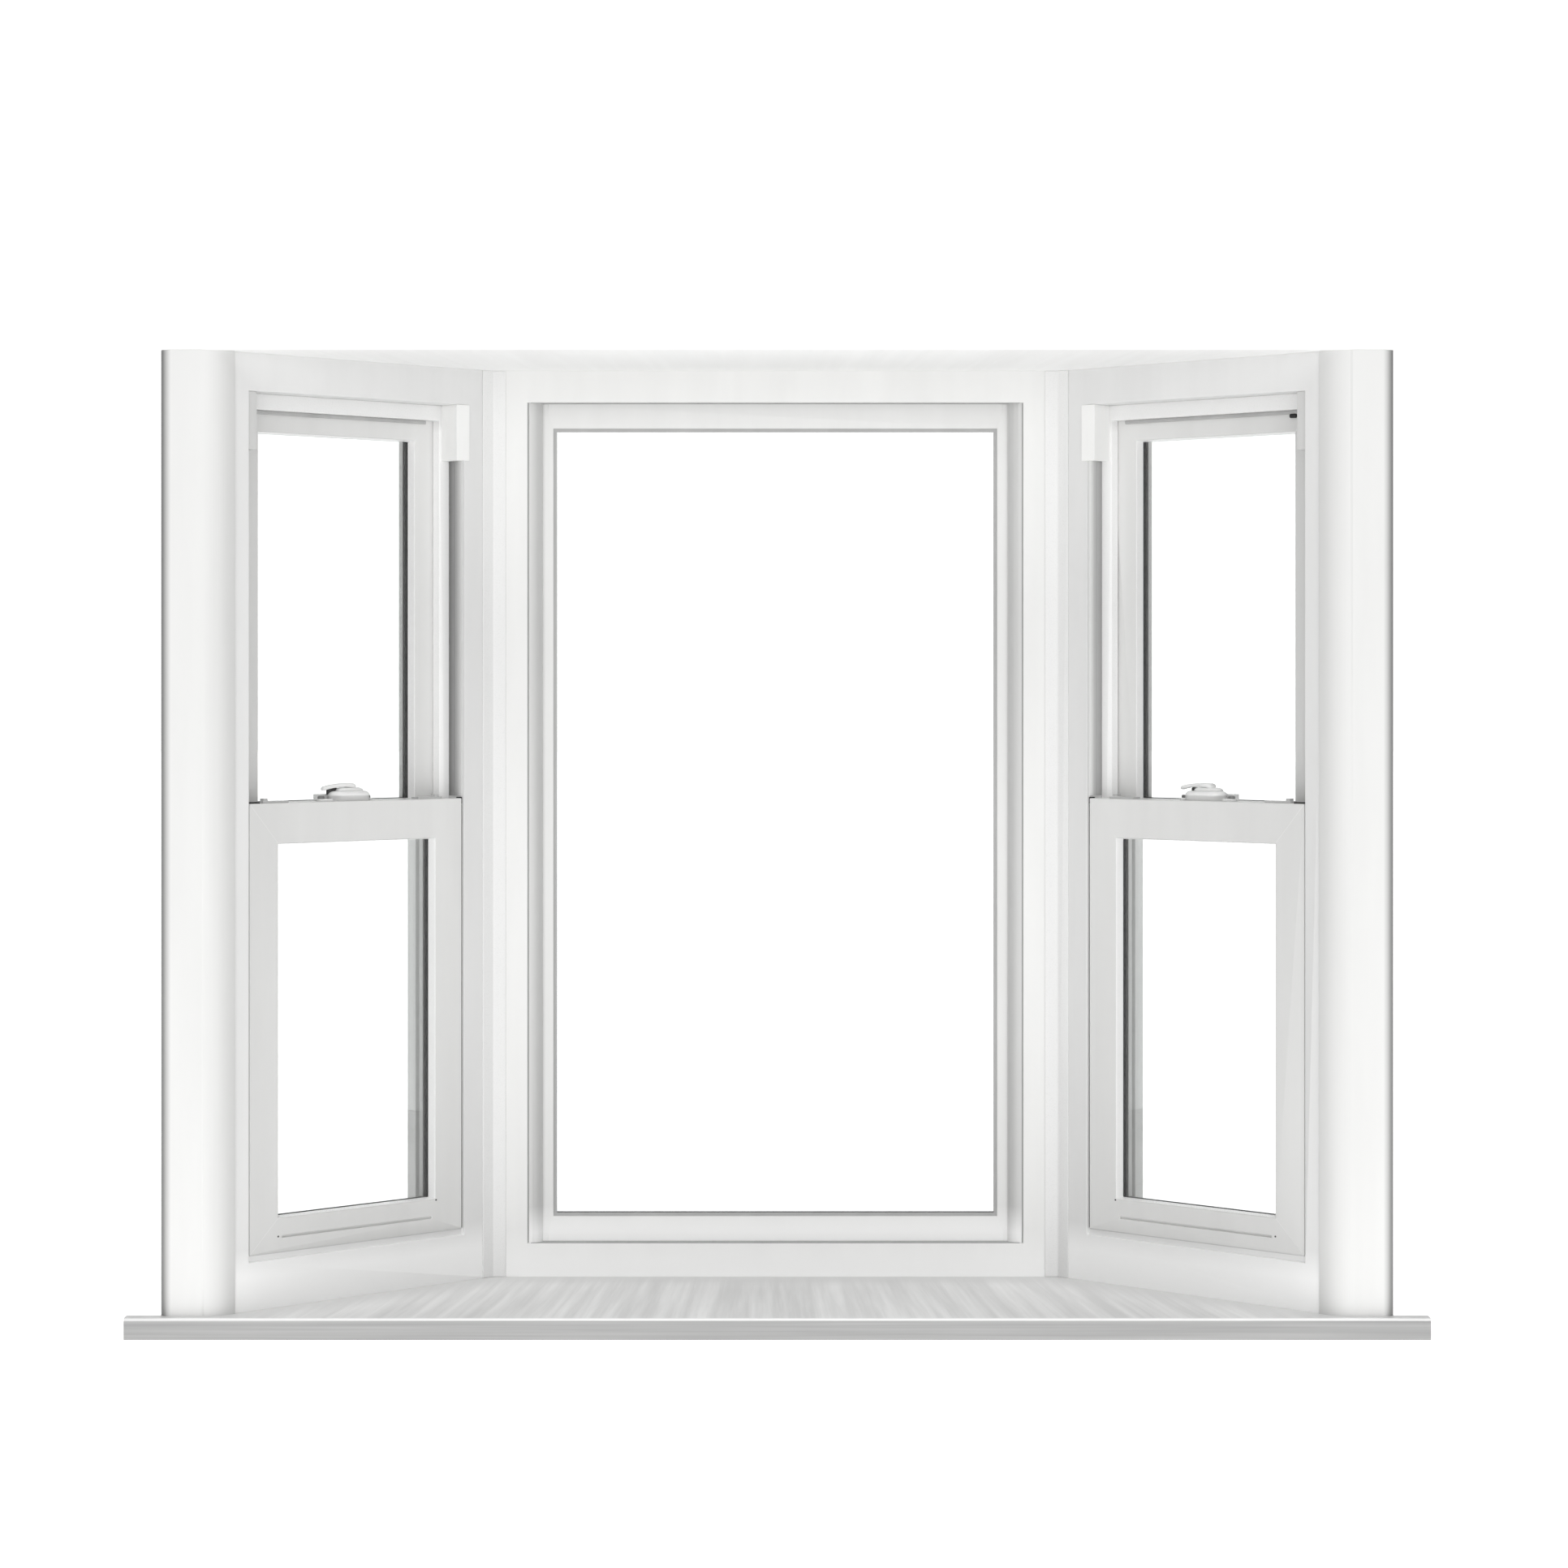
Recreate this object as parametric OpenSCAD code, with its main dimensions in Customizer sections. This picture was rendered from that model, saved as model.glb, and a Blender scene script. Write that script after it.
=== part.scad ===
// Bay window seen from the room side: a fixed centre window between two
// double-hung side windows, joined at their corners by mullions, closed above
// and below by boards, with a rounded post at each wall.
//
// X runs along the wall, +Y points outdoors and +Z is up. The origin is on the
// underside of the seat board, midway along it, in the plane of the posts' fronts.
// Each side window is drawn in its own axes: u along its room face from the
// corner, t through it towards the outside, z up from the seat board.

/* [Overall] */
// Clear height between the seat board and the head board
clear_h = 1130; // [900:5:1400]
// Width of the centre window, corner to corner on the room side
center_w = 706; // [560:2:900]
// Width of each side window's room face, from its corner to the wall post
side_w = 403; // [330:1:500]
// Angle that each side window turns back towards the wall
bay_angle = 45; // [38:1:50]

/* [Boards] */
// Thickness of the seat board
seat_t = 25.4; // [18:0.2:40]
// How far the seat board's front edge stands ahead of the posts
seat_nose = 15; // [8:1:30]
// Radius of the seat board's top front edge
nose_r = 4; // [2:0.5:8]
// Length of the seat board's ends past the posts
horn_len = 40; // [20:1:60]
// Depth of those ends, front to back
horn_d = 22; // [14:1:30]
// Thickness of the head board
head_t = 12; // [9:1:30]
// How far both boards reach past the windows' outer faces
board_lap = 4; // [3.5:0.5:12]

/* [Posts and corners] */
// Width of each wall post past the side window's room face
post_w = 84; // [70:1:110]
// Depth from the posts' fronts back to the side windows' near edge
post_step = 20; // [16:1:40]
// How far the post stands proud of the window at their seam
post_proud = 2.5; // [1:0.5:4]
// How far the side window's frame runs on behind its post
post_lap = 12; // [8:1:14]
// Radius of the post's turn towards the window
post_turn_r = 45; // [20:1:55]
// Radius of the post's outer edge
post_edge_r = 12; // [6:1:16]
// Space between each frame and the corner, filled by the mullion
mull_gap = 12; // [6:0.5:14]
// Width of each leg of the trim in the corner
trim_leg = 17; // [15:1:26]
// Thickness of that trim
trim_t = 2; // [1:0.5:4]
// How far the outside corner cover laps onto each frame
cover_lap = 10; // [6:1:20]
// Thickness of that cover
cover_t = 3; // [2:0.5:3.5]

/* [Frames] */
// Width of the centre frame's sides
center_side = 32; // [26:1:60]
// Height of the centre frame's head
center_head = 39.6; // [30:0.2:60]
// Height of the centre frame's sill
center_sill = 41.4; // [30:0.2:60]
// Width of the side frames' jambs
jamb_w = 34.5; // [28:0.5:60]
// Height of the side frames' head
side_head = 45; // [34:0.5:60]
// Height of the side frames' sill face
side_sill = 57; // [40:0.5:80]
// Height of the step that the lower sash closes against
sill_step = 7.7; // [4:0.1:14]

/* [Centre glazing] */
// Width of the glazing bead
bead_w = 31; // [24:0.5:44]
// Depth of the bead's outer edge behind the frame's face
bead_front = 4; // [2:0.5:8]
// Depth of the bead's inner edge behind the frame's face
bead_back = 22; // [14:0.5:24]
// Width of the bead's rounded shoulder, next to the frame
bead_shoulder = 18; // [10:1:22]
// How far the bead's flat face falls towards the glass
bead_fall = 1.5; // [0.5:0.5:3]
// Depth of the glass behind the frame's face
glass_setback = 26; // [25:0.5:36]
// Thickness of the centre double glazing
center_glass_t = 20; // [14:1:24]
// Width of the gasket round the centre glass
gasket_w = 4.5; // [2:0.5:6]
// How far the glazing reaches in behind its bead or rail
glass_bite = 8; // [5:0.5:12]

/* [Sashes] */
// Thickness of a sash
sash_t = 33; // [30:0.5:34]
// How much thinner the sash is at its sides, to clear the stops
side_cut = 7.5; // [6:0.5:9]
// How far the thinner edges reach in from the sash's sides
flange_w = 24; // [20:0.5:28]
// Set-back of the lower sash from the frame's face
sash_setback = 2; // [1:0.5:3]
// Space between the lower sash's back and the upper sash's face
track_gap = 6; // [4:0.5:10]
// Play between a sash and the frame's jambs and head
sash_play = 2.3; // [1:0.1:4]
// Width of a sash's side stiles
stile_w = 42.6; // [30:0.2:56]
// Height of the lower sash's bottom rail
bottom_rail = 40.5; // [30:0.5:60]
// Height of the groove's foot above the sash's foot
groove_z = 16.5; // [10:0.5:24]
// Height of that groove
groove_h = 2.6; // [1:0.2:5]
// Its depth
groove_d = 3; // [1:0.5:5]
// How far its ends stay clear of the stiles
groove_end = 6; // [2:1:20]
// Height of the upper sash's top rail
top_rail = 42; // [30:0.5:60]
// Height of the two meeting rails
check_rail = 48; // [36:1:60]
// Height of the meeting rail's hooked back
hook_h = 26; // [16:1:32]
// Space between that hook and the upper sash
hook_gap = 1.5; // [1:0.5:2.5]
// Depth of the bead in front of a sash's glass
sash_bead = 12; // [8:0.5:14]
// Thickness of a sash's double glazing
sash_glass_t = 12; // [8:1:14]
// Gap between a piece and what it closes on or slots into
fit = 0.3; // [0.2:0.1:0.5]

/* [Stops] */
// Space between a sash and the stop behind or in front of it
stop_gap = 0.5; // [0.3:0.1:0.9]
// Depth of the frame behind the upper sash
outer_stop_t = 9; // [6:0.5:20]
// How far the stop between the two sash tracks stands out of the jambs
stop_w = 16.5; // [12:0.5:19]
// Height of the stop under the head
head_stop = 19; // [14:1:26]
// How far the outside stop stands out of the jambs
blind_w = 23.5; // [16:0.5:24]
// Height of the outside stop under the head
blind_h = 20; // [14:1:26]
// Height of the cap that closes the top of each inner track
cap_h = 69; // [40:1:90]
// Width of that cap
cap_w = 13; // [8:1:15]
// How far the corner side's cap laps onto the frame's face
cap_lap = 8; // [0:1:14]
// Thickness of that lap
cap_lap_t = 1.2; // [0.8:0.2:3]

/* [Hardware] */
// Length of the sash lock's base
lock_len = 82; // [60:1:100]
// Length of the raised body on that base
lock_boss = 63; // [44:1:80]
// Depth of the sash lock, front to back
lock_d = 20; // [14:1:22]
// Thickness of the lock's base
lock_base_t = 3; // [2:0.5:5]
// Height of the lock's body over the rail
lock_h = 9; // [6:0.5:14]
// Length of the lock lever from its hub to its tip
lever_len = 38; // [28:1:46]
// Width of the lock lever
lever_w = 8; // [6:0.5:12]
// Thickness of the lock lever
lever_t = 5; // [3:0.5:7]
// Radius of the lever's hub
hub_r = 7.5; // [5:0.5:9]
// Height of the lever's hub over the lock's body
hub_h = 9; // [6:0.5:12]
// Length of the keeper on the upper sash
keeper_len = 58; // [40:1:70]
// Height of that keeper
keeper_h = 8; // [5:0.5:12]
// Length of each tilt latch
latch_len = 38; // [30:1:46]
// Depth of each tilt latch, front to back
latch_d = 14; // [10:1:18]
// Thickness of each tilt latch
latch_t = 2.5; // [1.5:0.5:4]
// Height of the thumb button on each tilt latch
latch_button = 3; // [2:0.5:5]
// Distance of each tilt latch from the sash's side
latch_inset = 26; // [20:1:40]

/* [Hidden] */

// Where things stand in plan
back_y = post_step + side_w * sin(bay_angle);
post_x = center_w / 2 + side_w * cos(bay_angle) + post_w;
half_turn = tan(bay_angle / 2);
arc_steps = 12;

// The side frames, in their own axes
frame_u0 = mull_gap;
frame_u1 = side_w + post_lap;
open_u0 = frame_u0 + jamb_w;
open_u1 = frame_u1 - jamb_w;
open_z1 = clear_h - side_head;
track_step = sash_t + track_gap;
frame_d = sash_setback + track_step + sash_t + outer_stop_t;
flange_t = sash_t - side_cut;
upper_t = sash_setback + track_step;
stop_t = [sash_setback + flange_t + stop_gap, upper_t - stop_gap];
blind_t = stop_t[0] + track_step;

// The sashes, in the same axes
sash_u0 = open_u0 + sash_play;
sash_u1 = open_u1 - sash_play;
sash_z0 = side_sill + sill_step + fit;
sash_z1 = open_z1 - sash_play;
sash_h = (sash_z1 - sash_z0 + check_rail) / 2;
lower_top = sash_z0 + sash_h;
upper_bottom = sash_z1 - sash_h;
sash_mid = (sash_u0 + sash_u1) / 2;

// The centre frame's opening
center_x = center_w / 2 - mull_gap;
bead_x = center_x - center_side;
bead_z0 = center_sill;
bead_z1 = clear_h - center_head;
bead_steps = 10;
rear_step = 12;

// Colours
vinyl = "whitesmoke";
board_white = "gainsboro";
lock_white = "white";
glass_tint = "lightcyan";
gasket_gray = "dimgray";

// A point of the right-hand side window in plan
function side_pt(u, t) = [
    center_w / 2 + u * cos(bay_angle) + t * sin(bay_angle),
    back_y - u * sin(bay_angle) + t * cos(bay_angle)
];

// The place on the wall line where a side window's face, moved out by t, meets x
function side_y_at(x, t) = side_pt((x - center_w / 2 - t * sin(bay_angle)) / cos(bay_angle), t)[1];

// The corner where the centre and side faces meet after both move out by t
function corner_pt(t) = [center_w / 2 + t * half_turn, back_y + t];

// The outer end of a window frame's face in front of the post
function seam_corner() = side_pt((back_y - post_proud * cos(bay_angle)) / sin(bay_angle), -post_proud);

// Right half of a closed outline, followed by its mirror image
function both_halves(half) = concat(
    half,
    [for (i = [len(half) - 1 : -1 : 0]) [-half[i][0], half[i][1]]]
);

// A box given by its lowest and highest values along each axis
module block(x, y, z) {
    translate([x[0], y[0], z[0]])
        cube([x[1] - x[0], y[1] - y[0], z[1] - z[0]]);
}

// Places a piece drawn in a side window's axes on the left or right of the bay
module on_side(side) {
    mirror([side == "left" ? 1 : 0, 0, 0])
        translate([center_w / 2, back_y, seat_t])
            rotate([0, 0, -bay_angle])
                children();
}

// Draws a plan outline for the right-hand side at its height, on either side
module plan_piece(side, outline, z, h) {
    mirror([side == "left" ? 1 : 0, 0, 0])
        translate([0, 0, z])
            linear_extrude(h)
                polygon(outline);
}

// The outline that both boards share behind the posts' fronts
function board_half() = [
    corner_pt(frame_d + board_lap),
    [post_x, side_y_at(post_x, frame_d + board_lap)]
];

module seat_board() {
    horn_x = post_x + horn_len;
    front = -seat_nose + nose_r;
    half = concat(board_half(), [
        [post_x, horn_d - seat_nose],
        [horn_x, horn_d - seat_nose],
        [horn_x, front]
    ]);
    color(board_white) {
        linear_extrude(seat_t)
            polygon(both_halves(half));
        // The front edge, rounded along its top
        translate([-horn_x, front, 0])
            rotate([90, 0, 90])
                linear_extrude(2 * horn_x)
                    union() {
                        translate([-nose_r, 0])
                            square([nose_r + 1, seat_t - nose_r]);
                        translate([0, seat_t - nose_r])
                            intersection() {
                                circle(nose_r, $fn = 32);
                                translate([-nose_r, -nose_r])
                                    square([nose_r, 2 * nose_r]);
                            }
                    }
    }
}

module head_board() {
    color(board_white)
        translate([0, 0, seat_t + clear_h])
            linear_extrude(head_t)
                polygon(both_halves(concat(board_half(), [[post_x, 0]])));
}

// The post between a side window and the wall: a wedge with a rounded front
module wall_post(side) {
    turn_x = seam_corner()[0] + post_turn_r * half_turn;
    outline = concat(
        [side_pt(side_w, 0), side_pt(side_w, -post_proud)],
        [for (i = [arc_steps : -1 : 0])
            let (a = bay_angle * i / arc_steps)
            [turn_x - post_turn_r * sin(a), post_turn_r * (1 - cos(a))]],
        [for (i = [0 : arc_steps])
            let (a = 90 * i / arc_steps)
            [post_x - post_edge_r * (1 - sin(a)), post_edge_r * (1 - cos(a))]],
        [[post_x, side_y_at(post_x, frame_d)]],
        [side_pt(frame_u1, frame_d), side_pt(frame_u1, 0)]
    );
    color(vinyl)
        plan_piece(side, outline, seat_t, clear_h);
}

// The wedge that fills the corner between the centre frame and a side frame
module corner_mullion(side) {
    outline = [
        [center_x, back_y],
        corner_pt(0),
        side_pt(frame_u0, 0),
        side_pt(frame_u0, frame_d),
        corner_pt(frame_d),
        [center_x, back_y + frame_d]
    ];
    color(vinyl)
        plan_piece(side, outline, seat_t, clear_h);
}

// The V-shaped strip over the corner, on the room side
module corner_trim(side) {
    outline = [
        [center_w / 2 - trim_leg, back_y],
        corner_pt(0),
        side_pt(trim_leg, 0),
        side_pt(trim_leg, -trim_t),
        corner_pt(-trim_t),
        [center_w / 2 - trim_leg, back_y - trim_t]
    ];
    color(vinyl)
        plan_piece(side, outline, seat_t, clear_h);
}

// The V-shaped cover over the same corner, outside
module outside_cover(side) {
    end_u = mull_gap + cover_lap;
    leg = end_u + frame_d * half_turn;
    outline = [
        corner_pt(frame_d) - [leg, 0],
        corner_pt(frame_d),
        side_pt(end_u, frame_d),
        side_pt(end_u, frame_d + cover_t),
        corner_pt(frame_d + cover_t),
        corner_pt(frame_d) + [-leg, cover_t]
    ];
    color(vinyl)
        plan_piece(side, outline, seat_t, clear_h);
}

// Places a piece drawn from the centre window's room face, z up from the seat
module on_center() {
    translate([0, back_y, seat_t])
        children();
}

module center_frame() {
    rear_t = glass_setback + center_glass_t + fit;
    lip_x = bead_x - bead_w;
    lip = [bead_z0 + bead_w, bead_z1 - bead_w];
    color(vinyl)
        on_center()
            difference() {
                block([-center_x, center_x], [0, frame_d], [0, clear_h]);
                block([-bead_x, bead_x], [-1, rear_t], [bead_z0, bead_z1]);
                block([-lip_x, lip_x], [rear_t - 1, frame_d + 1], lip);
                block([-lip_x - rear_step, lip_x + rear_step],
                    [rear_t + rear_step, frame_d + 1],
                    [lip[0] - rear_step, lip[1] + rear_step]);
            }
}

// One upright of the bead, along Z from 0 to len: x in from the frame, y back
module bead_upright(len) {
    shoulder = [for (i = [0 : bead_steps])
        let (a = 90 * i / bead_steps)
        [bead_shoulder * sin(a), bead_front + (bead_back - bead_fall - bead_front) * (1 - cos(a))]];
    linear_extrude(len)
        polygon(concat(shoulder, [[bead_w, bead_back], [bead_w, glass_setback], [0, glass_setback]]));
}

// One rail of the bead, along X from -len / 2 to len / 2: flat, z in from the frame
module bead_rail(len) {
    face = bead_back - bead_fall;
    translate([-len / 2, 0, 0])
        rotate([90, 0, 90])
            linear_extrude(len)
                polygon([[face, 0], [glass_setback, 0], [glass_setback, bead_w], [bead_back, bead_w]]);
}

// The uprights run the whole height, and the rails end in their flat faces
module center_glazing_bead() {
    h = bead_z1 - bead_z0;
    rail = 2 * (bead_x - (bead_shoulder + bead_w) / 2);
    color(vinyl)
        on_center()
            translate([0, 0, bead_z0]) {
                for (way = [0, 1])
                    mirror([way, 0, 0])
                        translate([-bead_x, 0, 0])
                            bead_upright(h);
                bead_rail(rail);
                translate([0, 0, h])
                    mirror([0, 0, 1])
                        bead_rail(rail);
            }
}

module center_gasket() {
    x = bead_x - bead_w;
    z = [bead_z0 + bead_w, bead_z1 - bead_w];
    t = [(bead_back + glass_setback) / 2, glass_setback];
    color(gasket_gray)
        on_center()
            difference() {
                block([-x, x], t, z);
                block([gasket_w - x, x - gasket_w], [t[0] - 1, t[1] + 1],
                    [z[0] + gasket_w, z[1] - gasket_w]);
            }
}

module center_glass() {
    x = bead_x - bead_w + glass_bite;
    color(glass_tint, 0.4)
        on_center()
            block([-x, x], [glass_setback, glass_setback + center_glass_t],
                [bead_z0 + bead_w - glass_bite, bead_z1 - bead_w + glass_bite]);
}

// A side window's frame: jambs, head, a sill that falls outwards, outside stops
module side_frame(side) {
    step_t = sash_setback + 2;
    step_back = stop_t[1] - 1;
    sill = [
        [0, 0], [frame_d, 0], [frame_d, side_sill - 12], [step_back, side_sill],
        [step_back, side_sill + sill_step], [step_t, side_sill + sill_step],
        [step_t, side_sill], [0, side_sill]
    ];
    color(vinyl)
        on_side(side)
            union() {
                block([frame_u0, open_u0], [0, frame_d], [0, clear_h]);
                block([open_u1, frame_u1], [0, frame_d], [0, clear_h]);
                block([frame_u0, frame_u1], [0, frame_d], [open_z1, clear_h]);
                translate([frame_u0 + 1, 0, 0])
                    rotate([90, 0, 90])
                        linear_extrude(frame_u1 - frame_u0 - 2)
                            polygon(sill);
                block([open_u0 - 1, open_u0 + blind_w], [blind_t, frame_d], [1, open_z1 + 1]);
                block([open_u1 - blind_w, open_u1 + 1], [blind_t, frame_d], [1, open_z1 + 1]);
                block([open_u0 - 1, open_u1 + 1], [upper_t + sash_t + stop_gap, frame_d],
                    [open_z1 - blind_h, open_z1 + 1]);
            }
}

// The stop between the two sash tracks, up both jambs and across the head
module parting_stop(side) {
    z0 = side_sill + sill_step;
    color(vinyl)
        on_side(side)
            difference() {
                block([open_u0, open_u1], stop_t, [z0, open_z1]);
                block([open_u0 + stop_w, open_u1 - stop_w], stop_t + [-1, 1],
                    [z0 - 1, open_z1 - head_stop]);
            }
}

// The caps that close the tops of the inner tracks
module track_caps(side) {
    t = [sash_setback, stop_t[0]];
    z = [open_z1 - cap_h, open_z1];
    color(vinyl)
        on_side(side) {
            union() {
                block([open_u0, open_u0 + cap_w], [-cap_lap_t, t[1]], z);
                block([open_u0 - cap_lap, open_u0 + 1], [-cap_lap_t, 0], z);
            }
            block([open_u1 - cap_w, open_u1], t, z);
        }
}

// A sash with its room face at t0 and its foot at z0
module sash(t0, z0, foot, top) {
    glass_u = [sash_u0 + stile_w, sash_u1 - stile_w];
    glass_z = [z0 + foot, z0 + sash_h - top];
    slot = [t0 + sash_bead, t0 + sash_bead + sash_glass_t];
    bite = glass_bite + fit;
    difference() {
        union() {
            block([sash_u0, sash_u1], [t0, t0 + flange_t], [z0, z0 + sash_h]);
            block([sash_u0 + flange_w, sash_u1 - flange_w], [t0, t0 + sash_t], [z0, z0 + sash_h]);
        }
        block(glass_u, [t0 - 1, t0 + sash_t + 1], glass_z);
        block(glass_u + [-bite, bite], slot + [-fit, fit], glass_z + [-bite, bite]);
    }
}

// The double glazing that sits in a sash's slot
module sash_glass(t0, z0, foot, top) {
    block([sash_u0 + stile_w - glass_bite, sash_u1 - stile_w + glass_bite],
        [t0 + sash_bead, t0 + sash_bead + sash_glass_t],
        [z0 + foot - glass_bite, z0 + sash_h - top + glass_bite]);
}

module upper_sash(side) {
    color(vinyl)
        on_side(side)
            sash(upper_t, upper_bottom, check_rail, top_rail);
}

module upper_glass(side) {
    color(glass_tint, 0.4)
        on_side(side)
            sash_glass(upper_t, upper_bottom, check_rail, top_rail);
}

// The lower sash, with the hook on its meeting rail that closes on the upper one
// and a shallow groove along its bottom rail
module lower_sash(side) {
    back = sash_setback + sash_t;
    end = stile_w + groove_end;
    z = sash_z0 + groove_z;
    color(vinyl)
        on_side(side)
            difference() {
                union() {
                    sash(sash_setback, sash_z0, bottom_rail, check_rail);
                    block([sash_u0 + flange_w, sash_u1 - flange_w], [back - 1, upper_t - hook_gap],
                        [lower_top - hook_h, lower_top]);
                }
                block([sash_u0 + end, sash_u1 - end],
                    [sash_setback - 1, sash_setback + groove_d], [z, z + groove_h]);
            }
}

module lower_glass(side) {
    color(glass_tint, 0.4)
        on_side(side)
            sash_glass(sash_setback, sash_z0, bottom_rail, check_rail);
}

// A bar with round ends, standing on z0, centred on the sash at the depth t
module round_bar(len, width, t, z0, h) {
    r = width / 2;
    translate([sash_mid, t, z0])
        linear_extrude(h)
            union() {
                square([len - width, width], center = true);
                for (s = [-1, 1])
                    translate([s * (len / 2 - r), 0])
                        circle(r, $fn = 48);
            }
}

// The middle of the lock, whose back is just inside the meeting rail's hook
function lock_t() = upper_t - hook_gap - 0.5 - lock_d / 2;

module sash_lock(side) {
    color(lock_white)
        on_side(side)
            union() {
                round_bar(lock_len, lock_d, lock_t(), lower_top, lock_base_t);
                round_bar(lock_boss, lock_d - 2, lock_t(), lower_top + 1, lock_h - 1);
            }
}

// The cam lever on the lock, which points to the room's left on both windows
module lock_lever(side) {
    way = side == "left" ? 1 : -1;
    hub_z = lower_top + lock_h;
    color(lock_white)
        on_side(side)
            translate([sash_mid, lock_t(), hub_z]) {
                cylinder(h = hub_h, r = hub_r, $fn = 48);
                translate([0, 0, hub_h - lever_t])
                    linear_extrude(lever_t)
                        union() {
                            translate([way > 0 ? 0 : -lever_len + lever_w / 2, -lever_w / 2])
                                square([lever_len - lever_w / 2, lever_w]);
                            translate([way * (lever_len - lever_w / 2), 0])
                                circle(lever_w / 2, $fn = 32);
                        }
            }
}

// The keeper on the upper sash that the lock's cam hooks into
module lock_keeper(side) {
    t = [upper_t, upper_t + sash_bead - fit];
    color(lock_white)
        on_side(side)
            block([sash_mid - keeper_len / 2, sash_mid + keeper_len / 2], t,
                [lower_top, lower_top + keeper_h]);
}

// One tilt latch, drawn from its outer end
module tilt_latch() {
    cube([latch_len, latch_d, latch_t]);
    translate([3, 3, latch_t / 2])
        cube([6, latch_d - 6, latch_t / 2 + latch_button]);
}

// The two latches that free the lower sash's top so that it tips in
module tilt_latches(side) {
    color(lock_white)
        on_side(side)
            for (end = [0, 1])
                translate([end == 0 ? sash_u0 + latch_inset : sash_u1 - latch_inset,
                        sash_setback + 7, lower_top])
                    mirror([end, 0, 0])
                        tilt_latch();
}

module left_wall_post() { wall_post("left"); }
module right_wall_post() { wall_post("right"); }
module left_corner_mullion() { corner_mullion("left"); }
module right_corner_mullion() { corner_mullion("right"); }
module left_corner_trim() { corner_trim("left"); }
module right_corner_trim() { corner_trim("right"); }
module left_outside_cover() { outside_cover("left"); }
module right_outside_cover() { outside_cover("right"); }
module left_frame() { side_frame("left"); }
module right_frame() { side_frame("right"); }
module left_parting_stop() { parting_stop("left"); }
module right_parting_stop() { parting_stop("right"); }
module left_track_caps() { track_caps("left"); }
module right_track_caps() { track_caps("right"); }
module left_upper_sash() { upper_sash("left"); }
module right_upper_sash() { upper_sash("right"); }
module left_upper_glass() { upper_glass("left"); }
module right_upper_glass() { upper_glass("right"); }
module left_lower_sash() { lower_sash("left"); }
module right_lower_sash() { lower_sash("right"); }
module left_lower_glass() { lower_glass("left"); }
module right_lower_glass() { lower_glass("right"); }
module left_sash_lock() { sash_lock("left"); }
module right_sash_lock() { sash_lock("right"); }
module left_lock_lever() { lock_lever("left"); }
module right_lock_lever() { lock_lever("right"); }
module left_lock_keeper() { lock_keeper("left"); }
module right_lock_keeper() { lock_keeper("right"); }
module left_tilt_latches() { tilt_latches("left"); }
module right_tilt_latches() { tilt_latches("right"); }

seat_board();
head_board();
left_wall_post();
right_wall_post();
left_corner_mullion();
right_corner_mullion();
left_corner_trim();
right_corner_trim();
left_outside_cover();
right_outside_cover();
center_frame();
center_glazing_bead();
center_gasket();
center_glass();
left_frame();
right_frame();
left_parting_stop();
right_parting_stop();
left_track_caps();
right_track_caps();
left_upper_sash();
right_upper_sash();
left_upper_glass();
right_upper_glass();
left_lower_sash();
right_lower_sash();
left_lower_glass();
right_lower_glass();
left_sash_lock();
right_sash_lock();
left_lock_lever();
right_lock_lever();
left_lock_keeper();
right_lock_keeper();
left_tilt_latches();
right_tilt_latches();
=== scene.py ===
import math

import bmesh
import bpy
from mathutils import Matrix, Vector

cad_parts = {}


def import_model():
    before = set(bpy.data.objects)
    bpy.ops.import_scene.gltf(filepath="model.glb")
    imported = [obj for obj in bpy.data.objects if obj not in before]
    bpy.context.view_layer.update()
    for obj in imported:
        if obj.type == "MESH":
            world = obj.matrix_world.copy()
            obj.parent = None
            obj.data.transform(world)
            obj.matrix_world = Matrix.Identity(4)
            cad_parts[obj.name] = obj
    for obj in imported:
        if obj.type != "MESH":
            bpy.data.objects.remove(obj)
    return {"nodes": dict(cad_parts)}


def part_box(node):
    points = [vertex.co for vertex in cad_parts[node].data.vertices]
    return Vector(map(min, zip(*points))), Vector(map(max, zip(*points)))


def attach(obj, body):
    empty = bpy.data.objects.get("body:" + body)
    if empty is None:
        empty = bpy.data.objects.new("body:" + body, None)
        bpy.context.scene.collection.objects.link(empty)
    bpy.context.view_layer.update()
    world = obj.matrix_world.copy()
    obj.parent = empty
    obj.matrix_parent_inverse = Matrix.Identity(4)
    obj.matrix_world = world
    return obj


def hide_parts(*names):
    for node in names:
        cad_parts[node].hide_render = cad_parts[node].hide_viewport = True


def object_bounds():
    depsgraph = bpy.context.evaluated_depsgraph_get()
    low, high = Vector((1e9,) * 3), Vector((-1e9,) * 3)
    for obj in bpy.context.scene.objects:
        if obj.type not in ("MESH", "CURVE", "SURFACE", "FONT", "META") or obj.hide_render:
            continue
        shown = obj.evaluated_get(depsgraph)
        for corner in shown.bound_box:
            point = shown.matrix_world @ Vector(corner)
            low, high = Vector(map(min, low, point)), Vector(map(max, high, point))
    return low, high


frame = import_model()
cad_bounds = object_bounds()
nodes = frame["nodes"]

MM = 0.001
SIDES = ("left", "right")


# ---------------------------------------------------------------- camera

CAMERA_AT = (-0.035, -4.542, 0.7634)
CAMERA_SENSOR = 36
CAMERA_LENS = 89.2
CAMERA_SHIFT = (0.0234, -0.0631)
CAMERA_REACH = 200
LEVEL_AHEAD = (math.radians(90), 0, 0)

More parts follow.
